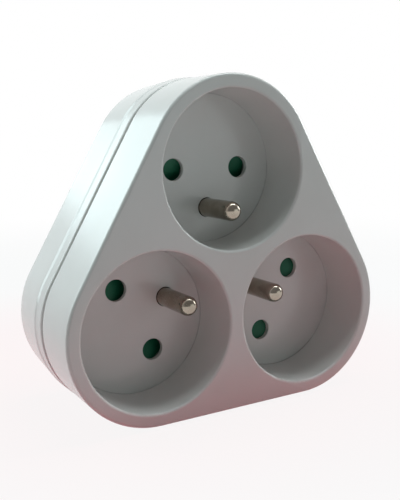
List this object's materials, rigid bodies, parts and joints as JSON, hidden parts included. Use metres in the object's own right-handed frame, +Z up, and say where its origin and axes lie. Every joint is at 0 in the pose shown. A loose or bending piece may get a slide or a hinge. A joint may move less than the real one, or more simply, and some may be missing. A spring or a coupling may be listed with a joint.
{
  "type": "multi socket adapter",
  "caption": "Triangular plug-in adapter in white plastic whose round recessed outlets have earth pins and spring-returned shutters, with a plug at the rear.",
  "frame": {"origin": "middle of the plug face, between the two plug pins", "axes": "+Y along the plug pins, away from the outlets; +Z up, from the plug axis to the upper outlet; +X to the right seen from the front"},
  "size_m": [0.089, 0.0705, 0.0833],
  "materials": {
    "casing_white": "gloss moulded white plastic",
    "carrier_plastic": "matte moulded grey plastic",
    "shutter_green": "matte dark green plastic",
    "pin_nickel": "nickel-plated brass, polished",
    "strip_brass": "bare stamped brass",
    "screw_steel": "zinc-plated steel",
    "spring_steel": "drawn spring wire"
  },
  "bodies": {
    "casing": {"front_housing": "casing_white", "rear_cover": "casing_white", "contact_carrier": "carrier_plastic", "earth_bar": "strip_brass", "earth_sleeve": "strip_brass", "line_bar": "strip_brass", "neutral_bar": "strip_brass", "line_plug_pin": "pin_nickel", "neutral_plug_pin": "pin_nickel", "casing_screws": "screw_steel", "earth_pin_top": "pin_nickel", "line_contact_top": "strip_brass", "neutral_contact_top": "strip_brass", "shutter_spring_top": "spring_steel", "earth_pin_left": "pin_nickel", "line_contact_left": "strip_brass", "neutral_contact_left": "strip_brass", "shutter_spring_left": "spring_steel", "earth_pin_right": "pin_nickel", "line_contact_right": "strip_brass", "neutral_contact_right": "strip_brass", "shutter_spring_right": "spring_steel"},
    "shutter_top_body": {"shutter_top": "shutter_green"},
    "shutter_left_body": {"shutter_left": "shutter_green"},
    "shutter_right_body": {"shutter_right": "shutter_green"}
  },
  "joints": [
    {"name": "shutter_top_slide", "type": "slide", "parent": "casing", "child": "shutter_top_body", "axis": [0, 0, 1], "range_m": [0, 0.0063], "stiffness_N_per_m": 60, "springref_m": -0.004, "deforming": ["shutter_spring_top"]},
    {"name": "shutter_left_slide", "type": "slide", "parent": "casing", "child": "shutter_left_body", "axis": [-0.866, 0, -0.5], "range_m": [0, 0.0063], "stiffness_N_per_m": 60, "springref_m": -0.004, "deforming": ["shutter_spring_left"]},
    {"name": "shutter_right_slide", "type": "slide", "parent": "casing", "child": "shutter_right_body", "axis": [0.866, 0, -0.5], "range_m": [0, 0.0063], "stiffness_N_per_m": 60, "springref_m": -0.004, "deforming": ["shutter_spring_right"]}
  ]
}
